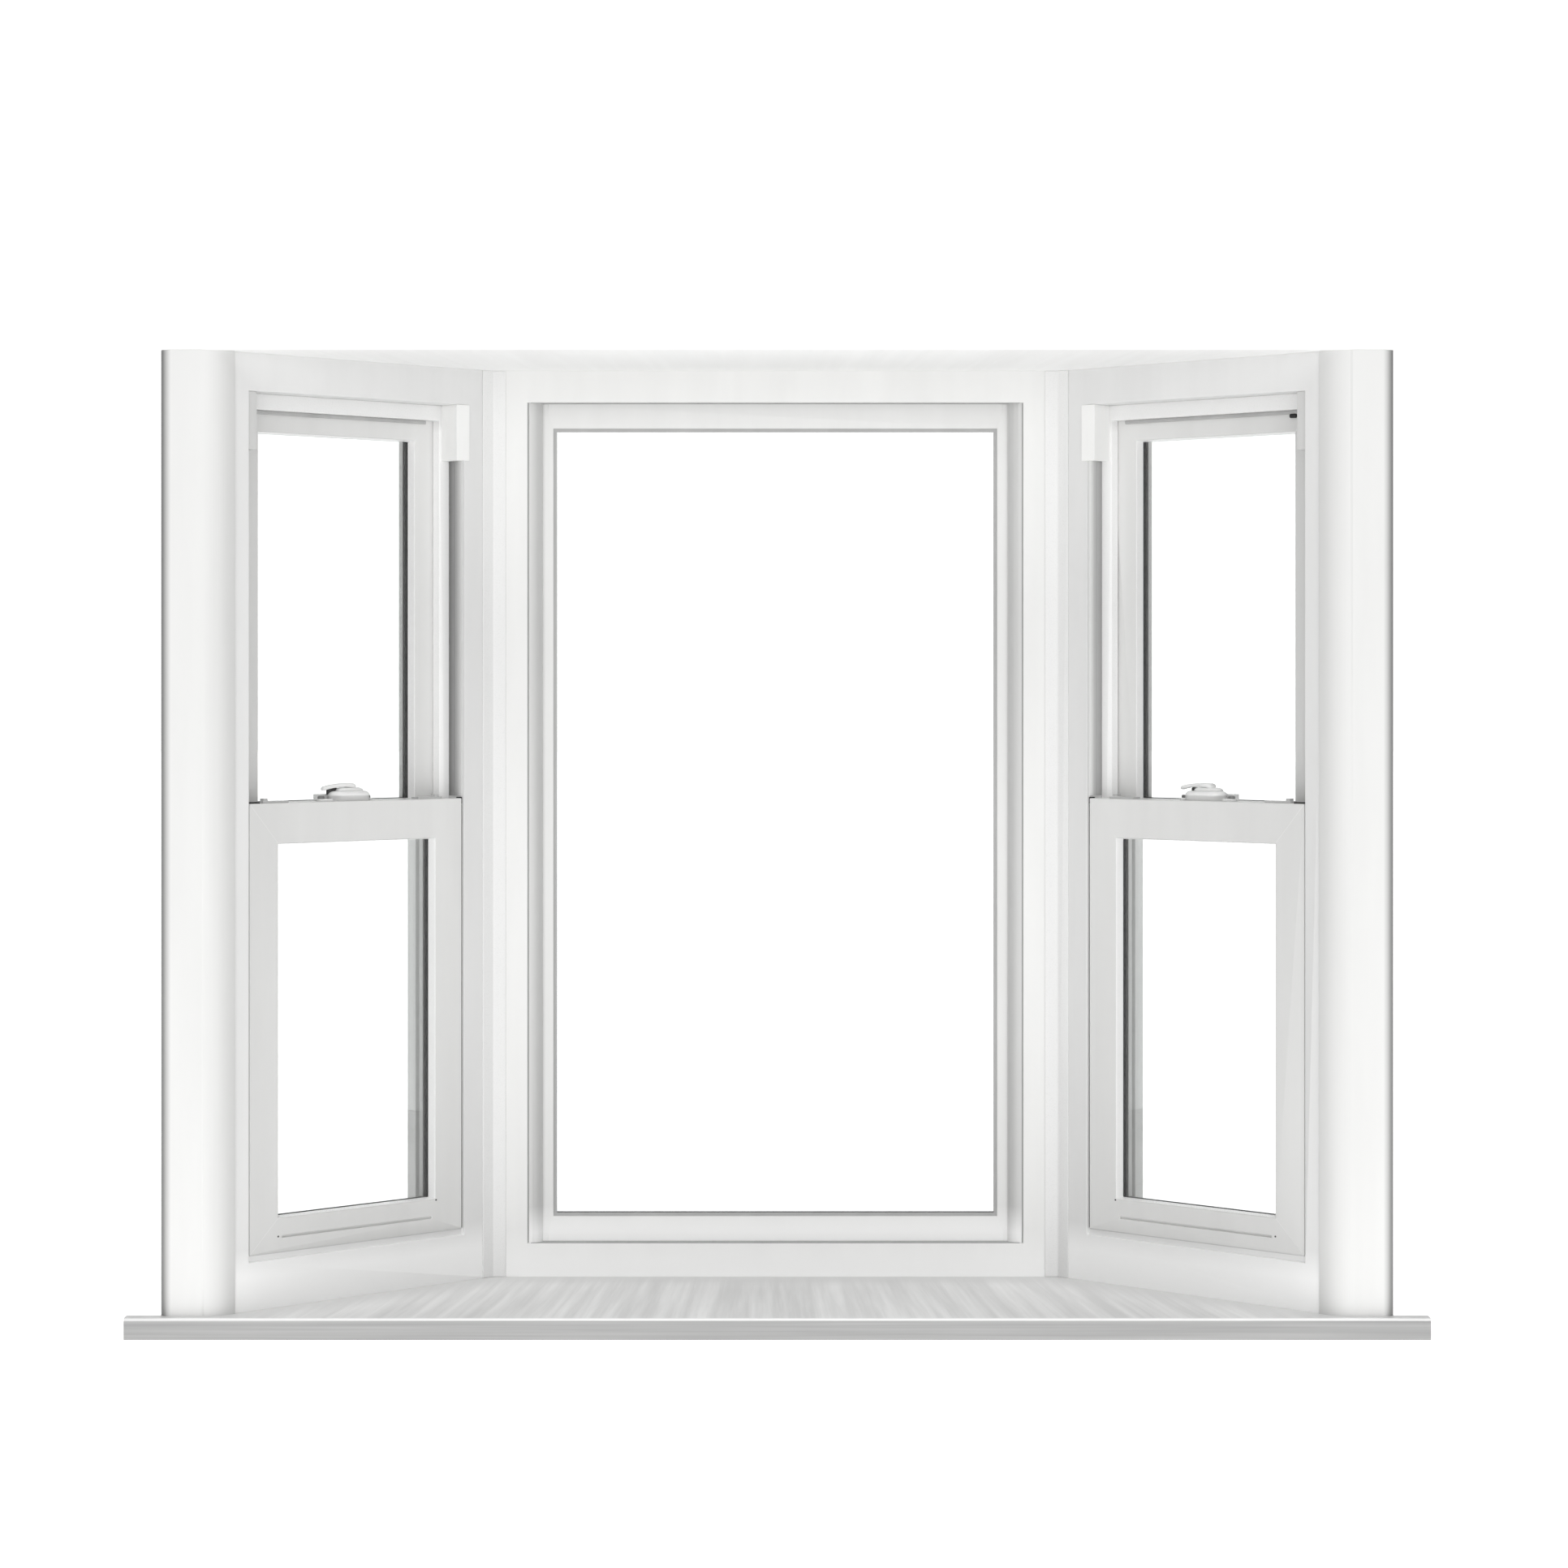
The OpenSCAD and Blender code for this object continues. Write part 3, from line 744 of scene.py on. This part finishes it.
def weld_lines(name, side, outer, inner, face):
    """Four thin mitre lines, from a sash's outer corners to its inner ones."""
    bm = bmesh.new()
    for a, b in ((0, 1), (2, 1), (2, 3), (0, 3)):
        start = Vector((outer[a], outer[b]))
        end = Vector((inner[a], inner[b]))
        along = (end - start).normalized()
        aside = Vector((-along.y, along.x)) * (WELD_WIDTH / 2)
        start += along * WELD_SHORT
        end -= along * WELD_SHORT
        outline = (start + aside, end + aside, end - aside, start - aside)
        loops = []
        for t in (face - WELD_PROUD, face + WELD_PROUD):
            loops.append([bm.verts.new(world(side, (q.x, t, q.y))) for q in outline])
        capped(bm, loops)
    finish_mesh(name, bm, WELD_VINYL)


LOCK_RISE = 3.5 * MM
LOCK_REACH = 12 * MM
LOCK_PLATE = [(0.0, 0.0), (0.0, 1.6 * MM)] + dome(1.6 * MM, 2.8 * MM, 1.4 * MM, 3)
LOCK_HOUSING = [(0.0, 0.0), (0.6 * MM, 6.0 * MM)] + dome(6.0 * MM, 12.0 * MM, 7.0 * MM)
LOCK_HUB = [(0.0, 9.0 * MM), (0.8 * MM, 12.0 * MM)] + dome(12.0 * MM, 16.0 * MM, 7 * MM)
LOCK_SCREW = [(0.0, 1.6 * MM)] + dome(4.4 * MM, 6.4 * MM, 1.4 * MM)
HOUSING_SHARE = 0.70
HOUSING_BACK = 1 * MM
HOUSING_ASIDE = 2 * MM
HUB_LENGTH = 40 * MM
HUB_ASIDE = 4 * MM
SCREW_WIDTH = 8.6 * MM
SCREW_FROM_END = 5.2 * MM
# A dark block under the lock's handle, painted shadow: its size, offset, foot and top
LEVER_SHADOW_SIZE = (21 * MM, 9 * MM)
LEVER_SHADOW_OFFSET = (15 * MM, 1.5 * MM)
LEVER_SHADOW_FOOT = 1.5 * MM
LEVER_SHADOW_TOP = (7 * MM, 6 * MM)
# Along the handle, in mm: run from the hub, drop below its top, half depth, half height
HANDLE = (
    (-7.5, 5.6, 3.0, 1.4),
    (-6.8, 4.4, 5.4, 3.2),
    (-4.0, 3.6, 6.8, 3.4),
    (0.0, 3.1, 7.2, 3.0),
    (5.0, 2.7, 6.8, 2.7),
    (10.0, 2.6, 5.8, 2.5),
    (18.0, 2.9, 5.2, 2.4),
    (27.0, 3.8, 5.0, 2.4),
    (34.0, 5.0, 4.9, 2.5),
    (38.5, 6.0, 4.6, 2.6),
    (40.9, 6.6, 3.2, 2.0),
    (41.8, 6.9, 1.6, 1.0),
)


def sash_lock(side):
    """The sash lock: screwed plate, domed housing, curved handle, and under it a dark block:
    painted shadow.
    """
    place = side_world(side)
    base0, base1 = local_box(side + "_sash_lock")
    lever_top = local_box(side + "_lock_lever")[1].z
    way = 1 if side == "left" else -1
    centre = Vector(((base0.x + base1.x) / 2, (base0.y + base1.y) / 2, base0.z))
    length = base1.x - base0.x
    width = base1.y - base0.y
    body_top = base1.z - base0.z
    full = lever_top - base0.z + LOCK_RISE

    bm = bmesh.new()
    stack(bm, centre, length, width, LOCK_PLATE, place)
    stack(bm, centre - Vector((way * HOUSING_ASIDE, LOCK_REACH / 2, 0)), length * HOUSING_SHARE,
          width - HOUSING_BACK + LOCK_REACH, LOCK_HOUSING, place)
    stack(bm, centre - Vector((way * HUB_ASIDE, LOCK_REACH / 3, 0)), HUB_LENGTH,
          width - HOUSING_BACK, LOCK_HUB, place)
    finish_mesh(side + "_lock_body", bm, HARDWARE, [side + "_sash_lock"], smooth=True)

    bm = bmesh.new()
    hub = centre.x - way * HUB_ASIDE
    stations = []
    for run, drop, half_t, half_z in HANDLE:
        stations.append((hub + way * run * MM, centre.y - LOCK_REACH / 3,
                         base0.z + full - drop * MM, half_t * MM, half_z * MM))
    tube(bm, stations, place)
    finish_mesh(side + "_lock_handle", bm, HARDWARE, [side + "_lock_lever"],
                smooth=True)

    # Painted shadow under the handle
    bm = bmesh.new()
    lever_shadow_at = Vector((centre.x + way * LEVER_SHADOW_OFFSET[0], centre.y + LEVER_SHADOW_OFFSET[1], base0.z))
    lever_shadow = [(0.0, body_top - LEVER_SHADOW_FOOT), (0.0, full - LEVER_SHADOW_TOP[0]), (1.2 * MM, full - LEVER_SHADOW_TOP[1])]
    stack(bm, lever_shadow_at, *LEVER_SHADOW_SIZE, lever_shadow, place)
    finish_mesh(side + "_lock_shadow_block", bm, PILE_AND_SHADOW)

    bm = bmesh.new()
    for end in (-1, 1):
        at = Vector((centre.x + end * (length / 2 - SCREW_FROM_END), centre.y, base0.z))
        stack(bm, at, SCREW_WIDTH, SCREW_WIDTH, LOCK_SCREW, place)
    finish_mesh(side + "_lock_screws", bm, SCREW, smooth=True)


SEAL_WIDTH = 1.8 * MM
SEAL_DEPTH = 1.2 * MM
SEAL_LAP = 1 * MM


def glazed_sash(side, sash):
    """What goes round a sash's glass: the bead, the mitre welds and the outer seal."""
    low, high = local_box(side + "_" + sash + "_sash")
    glass = local_box(side + "_" + sash + "_glass")
    name = side + "_" + sash
    sash_bead(name + "_bead", side, glass, low.y + BEAD_PROUD, BEAD_SINK[sash])
    inner = shrunk(rect_of(*glass), GLASS_BITE)
    weld_lines(name + "_welds", side, rect_of(low, high), inner, low.y)
    seal = shrunk(inner, -SEAL_LAP)
    bm = bmesh.new()
    add_flat_ring(bm, seal, shrunk(seal, SEAL_WIDTH), glass[1].y, glass[1].y + SEAL_DEPTH,
                  side_world(side))
    finish_mesh(name + "_outer_seal", bm, RUBBER)


# Ribs of a track liner, in mm: first and last depth, thickness
TRACK_RIBS = ((5.0, 27.6, 0.7), (8.0, 9.0, 1.3), (18.0, 19.2, 1.5))
OUTER_LINER_T = 0.7 * MM
OUTER_LINER_IN = 1 * MM
INNER_LINER_FOOT = 3 * MM
OUTER_LINER_FOOT = 14 * MM
OUTER_LINER_HEAD = 2 * MM


def tracks(side, stop, caps, lower, upper):
    """Liners of the inner tracks over the lower sash and of the outer ones under the upper."""
    foot, head = lower[1].z + INNER_LINER_FOOT, caps[0].z
    ribs = []
    for wall, step in ((stop[0].x, 1), (stop[1].x, -1)):
        for front, back, thick in TRACK_RIBS:
            u0, u1 = sorted((wall, wall + step * thick * MM))
            ribs.append(((u0, front * MM, foot), (u1, back * MM, head)))
    blocks_piece(side + "_track_liners", side, ribs, TRACKS[side])
    foot, head = lower[0].z + OUTER_LINER_FOOT, upper[0].z - OUTER_LINER_HEAD
    flats = []
    for wall, step in ((stop[0].x, 1), (stop[1].x, -1)):
        u0, u1 = sorted((wall, wall + step * OUTER_LINER_T))
        flats.append(((u0, upper[0].y + OUTER_LINER_IN, foot),
                      (u1, upper[1].y - OUTER_LINER_IN, head)))
    blocks_piece(side + "_outer_liners", side, flats, OUTER_TRACK)


JAMB_GAP = 0.15 * MM
PILE_DEPTHS = (2.5 * MM, 22 * MM)
PILE_ENDS = (1 * MM, 8 * MM)
PLUG_GAP = 0.2 * MM
PLUG_DROP = 7 * MM
PLUG_LENGTH = 17 * MM
PLUG_DEPTHS = (1.5 * MM, 11 * MM)
PLUG_PROUD = (1.8 * MM, 1 * MM, 1.5 * MM)
PLUG_EDGE = 0.5 * MM
SILL_SEAL_LOW = Vector((1, -0.15, -0.9)) * MM
SILL_SEAL_HIGH = Vector((-1, 3, 0.3)) * MM


def weather_seals(side, stop, lower):
    """Pile strips beside the lower sash, plugs at its top corners and the seal under it."""
    low, high = lower
    strips = []
    for u0, u1 in ((stop[0].x, low.x), (high.x, stop[1].x)):
        strips.append(((u0 + JAMB_GAP, low.y + PILE_DEPTHS[0], low.z + PILE_ENDS[0]),
                       (u1 - JAMB_GAP, low.y + PILE_DEPTHS[1], high.z - PILE_ENDS[1])))
    blocks_piece(side + "_pile_strips", side, strips, PILE_AND_SHADOW)
    front, back = (low.y + depth for depth in PLUG_DEPTHS)
    near, far = stop[0].x + PLUG_GAP, stop[1].x - PLUG_GAP
    foot = high.z - PLUG_DROP
    plugs = (
        ((high.x - PLUG_LENGTH, front, high.z), (far, back, high.z + PLUG_PROUD[0])),
        ((high.x + JAMB_GAP, front, foot), (far, back, high.z + PLUG_PROUD[1])),
        ((near, front, foot), (low.x - JAMB_GAP, back, high.z + PLUG_PROUD[2])),
    )
    blocks_piece(side + "_dust_plugs", side, plugs, BLACK, bevel=PLUG_EDGE)
    sill_seal = (low + SILL_SEAL_LOW, Vector((high.x, low.y, low.z)) + SILL_SEAL_HIGH)
    blocks_piece(side + "_foot_seal", side, [sill_seal], LATCH_GRAY)


NOTCH_FOOT = (1 * MM, 1.5 * MM)
NOTCH_DROP = 22 * MM
NOTCH_SIZE = (2.6 * MM, 2.2 * MM)
NOTCH_PROFILE = ((0.0, -0.12 * MM), (0.0, 0.3 * MM))
NOTCH_STEPS = 6


def bead_notch_shades(side, lower):
    """Two small dark marks at the lower corners of a lower sash's bead: painted shade of small
    notches.
    """
    u0, z0, u1 = shrunk(rect_of(*local_box(side + "_lower_glass")), GLASS_BITE)[:3]
    face = lower[0].y
    bm = bmesh.new()
    for u, z in ((u0 - NOTCH_FOOT[0], z0 - NOTCH_FOOT[1]), (u1, z0 - NOTCH_DROP)):
        stack(bm, Vector((u, z, 0)), *NOTCH_SIZE, NOTCH_PROFILE,
              lambda p: world(side, (p.x, face + p.z, p.y)), NOTCH_STEPS)
    finish_mesh(side + "_bead_notch_shades", bm, PILE_AND_SHADOW)


STRIP_ENDS = (29 * MM, 1 * MM)
STRIP_DEPTH = 2.5 * MM
STRIP_HEIGHT = 4.5 * MM
STRIP_GAP = 0.1 * MM
STRIP_EDGE = 1.0 * MM


def head_shadow_strip(side, stop, upper):
    """A gray strip under the parting stop's head: painted shadow in the recess above the upper
    sash.
    """
    head = stop_foot(side)
    strip = ((stop[0].x + STRIP_ENDS[0], stop[1].y - STRIP_DEPTH, head - STRIP_HEIGHT),
             (stop[1].x - STRIP_ENDS[1], upper[0].y - STRIP_GAP, head))
    blocks_piece(side + "_head_shadow_strip", side, [strip], HEAD_SHADOW_GRAY, STRIP_EDGE, 3)


for side in SIDES:
    stop = local_box(side + "_parting_stop")
    lower = local_box(side + "_lower_sash")
    upper = local_box(side + "_upper_sash")
    sash_lock(side)
    glazed_sash(side, "lower")
    glazed_sash(side, "upper")
    tracks(side, stop, local_box(side + "_track_caps"), lower, upper)
    weather_seals(side, stop, lower)
    bead_notch_shades(side, lower)
    head_shadow_strip(side, stop, upper)

# A black block under the right window's head stop: painted shade of a small hole there
HOLE_SHADE_SIZE = (10.5 * MM, 5 * MM)
HOLE_SHADE_PROFILE = ((1.0 * MM, -2.5 * MM), (0.0, -1.2 * MM), (0.0, 1.2 * MM), (1.0 * MM, 2.5 * MM))
HOLE_SHADE_OFFSET = Vector((-46.5 * MM, -1.2 * MM, -6.6 * MM))
stop_high = local_box("right_parting_stop")[1]
hole_shade_at = Vector((stop_high.x, stop_high.y, stop_foot("right"))) + HOLE_SHADE_OFFSET
bm = bmesh.new()
stack(bm, hole_shade_at, *HOLE_SHADE_SIZE, HOLE_SHADE_PROFILE, side_world("right"))
finish_mesh("right_head_hole_shade", bm, BLACK, smooth=True)


# ---------------------------------------------------------------- centre window's details

# Gray sheets on the frame's ledges above and below the centre bead, and thin gray lines at its
# sides: painted shade in the gaps
LEDGE_DEPTHS = (0.9 * MM, 20.2 * MM)
LEDGE_T = 0.5 * MM
LEDGE_IN = 4 * MM
LINE_WIDTH = 1.2 * MM
LINE_PROUD = 0.9 * MM
LINE_SUNK = 0.6 * MM
CENTER_SEAL_WIDTH = 4 * MM
CENTER_SEAL_DEPTH = 1.5 * MM

bead_low, bead_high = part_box("center_glazing_bead")
frame_low, frame_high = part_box("center_frame")
ledge_front, ledge_back = (frame_low.y + depth for depth in LEDGE_DEPTHS)
bm = bmesh.new()
for z0, z1 in ((bead_low.z, bead_low.z + LEDGE_T), (bead_high.z - LEDGE_T, bead_high.z)):
    add_block(bm, (bead_low.x + LEDGE_IN, ledge_front, z0),
              (bead_high.x - LEDGE_IN, ledge_back, z1))
for x0, x1 in ((bead_low.x, bead_low.x + LINE_WIDTH), (bead_high.x - LINE_WIDTH, bead_high.x)):
    add_block(bm, (x0, bead_low.y - LINE_PROUD, bead_low.z + LINE_SUNK),
              (x1, bead_low.y + LINE_SUNK, bead_high.z - LINE_SUNK))
finish_mesh("center_bead_gap", bm, GAP_GRAY)

center_seal = shrunk(rect_of(center_low, center_high), GLASS_BITE - SEAL_LAP)
bm = bmesh.new()
add_flat_ring(bm, center_seal, shrunk(center_seal, CENTER_SEAL_WIDTH),
              center_high.y, center_high.y + CENTER_SEAL_DEPTH, flat_world)
finish_mesh("center_outer_seal", bm, RUBBER)


# ---------------------------------------------------------------- outside details

WEEP_SIZE = (26 * MM, 5 * MM)
WEEP_PROFILE = ((0.0, -0.5 * MM), (0.0, 0.6 * MM), (0.6 * MM, 1.2 * MM))
WEEP_RISE = 20 * MM
SIDE_WEEPS = (0.3, 0.7)
CENTER_WEEPS = (0.2, 0.8)


def weep_covers(bm, low, high, shares, to_world):
    """Hooded drain slots along the foot of a frame's outer face."""
    face, z = high.y, low.z + WEEP_RISE
    for share in shares:
        u = low.x + (high.x - low.x) * share
        stack(bm, Vector((u, face, z)), *WEEP_SIZE, WEEP_PROFILE,
              lambda p: to_world(Vector((p.x, face + (p.z - z), z + (p.y - face)))))


bm = bmesh.new()
for side in SIDES:
    weep_covers(bm, *local_box(side + "_frame"), SIDE_WEEPS, side_world(side))
weep_covers(bm, frame_low, frame_high, CENTER_WEEPS, flat_world)
finish_mesh("weep_covers", bm, LATCH_GRAY, smooth=True)


# ---------------------------------------------------------------- stage and light

FLOOR_NEAR = 0.8
FLOOR_FAR = 0.6
FLOOR_FADE = (-3.0, -1.3)
FLOOR_GLOW = 1.12
FLOOR_REACH = 40
FLOOR_T = 20 * MM
FLOOR_BELOW = 0.4 * MM

ground = cad_bounds[0].z
bm = bmesh.new()
add_block(bm, (-FLOOR_REACH, -FLOOR_REACH, ground - FLOOR_T),
          (FLOOR_REACH, FLOOR_REACH, ground - FLOOR_BELOW))
floor_mesh = bpy.data.meshes.new("floor")
bm.to_mesh(floor_mesh)
bm.free()
floor = bpy.data.objects.new("floor", floor_mesh)
bpy.context.scene.collection.objects.link(floor)
floor_material, floor_tree, floor_bsdf = shader("pale_floor")
near = rescaled(floor_tree, object_place(floor_tree)["Y"], FLOOR_FADE,
                interpolation="SMOOTHSTEP")
floor_colour = ramp(floor_tree, near, [(0.0, gray(FLOOR_FAR, 0)), (1.0, gray(FLOOR_NEAR, 0))])
floor_tree.links.new(floor_colour, floor_bsdf.inputs["Base Color"])
floor_tree.links.new(floor_colour, floor_bsdf.inputs["Emission Color"])
floor_bsdf.inputs["Roughness"].default_value = 0.9
floor_bsdf.inputs["Specular IOR Level"].default_value = 0.0
floor_bsdf.inputs["Emission Strength"].default_value = FLOOR_GLOW
floor.data.materials.append(floor_material)

SKY_AROUND = 0.28
SKY_BEHIND = 1.25
SKY_FADE = (0.75, 0.93)
LIGHT_FROM_RIGHT = 0.02
# Elevation and spread in degrees
LIGHTS = {
    "front_light": {"elevation": 0, "spread": 30, "strength": 0.34},
    "top_light": {"elevation": 65, "spread": 40, "strength": 1.17},
}
for name, values in LIGHTS.items():
    sun_data = bpy.data.lights.new(name, "SUN")
    sun_data.energy = values["strength"]
    sun_data.angle = math.radians(values["spread"])
    sun = bpy.data.objects.new(name, sun_data)
    slope = math.radians(values["elevation"])
    source = Vector((LIGHT_FROM_RIGHT, -math.cos(slope), math.sin(slope)))
    sun.rotation_euler = source.to_track_quat("Z", "Y").to_euler()
    bpy.context.scene.collection.objects.link(sun)

sky = bpy.data.worlds.new("studio")
bpy.context.scene.world = sky
sky.use_nodes = True
tree = sky.node_tree
tree.nodes.clear()
out = tree.nodes.new("ShaderNodeOutputWorld")
background = tree.nodes.new("ShaderNodeBackground")
tree.links.new(background.outputs[0], out.inputs["Surface"])
background.inputs["Color"].default_value = (1, 1, 1, 1)
direction = separated(tree, add(tree, "ShaderNodeTexCoord").outputs["Generated"])
before_or_behind = math_node(tree, "ABSOLUTE", direction["Y"])
backdrop = rescaled(tree, before_or_behind, SKY_FADE, (SKY_AROUND, SKY_BEHIND), "SMOOTHSTEP")
tree.links.new(backdrop, background.inputs["Strength"])
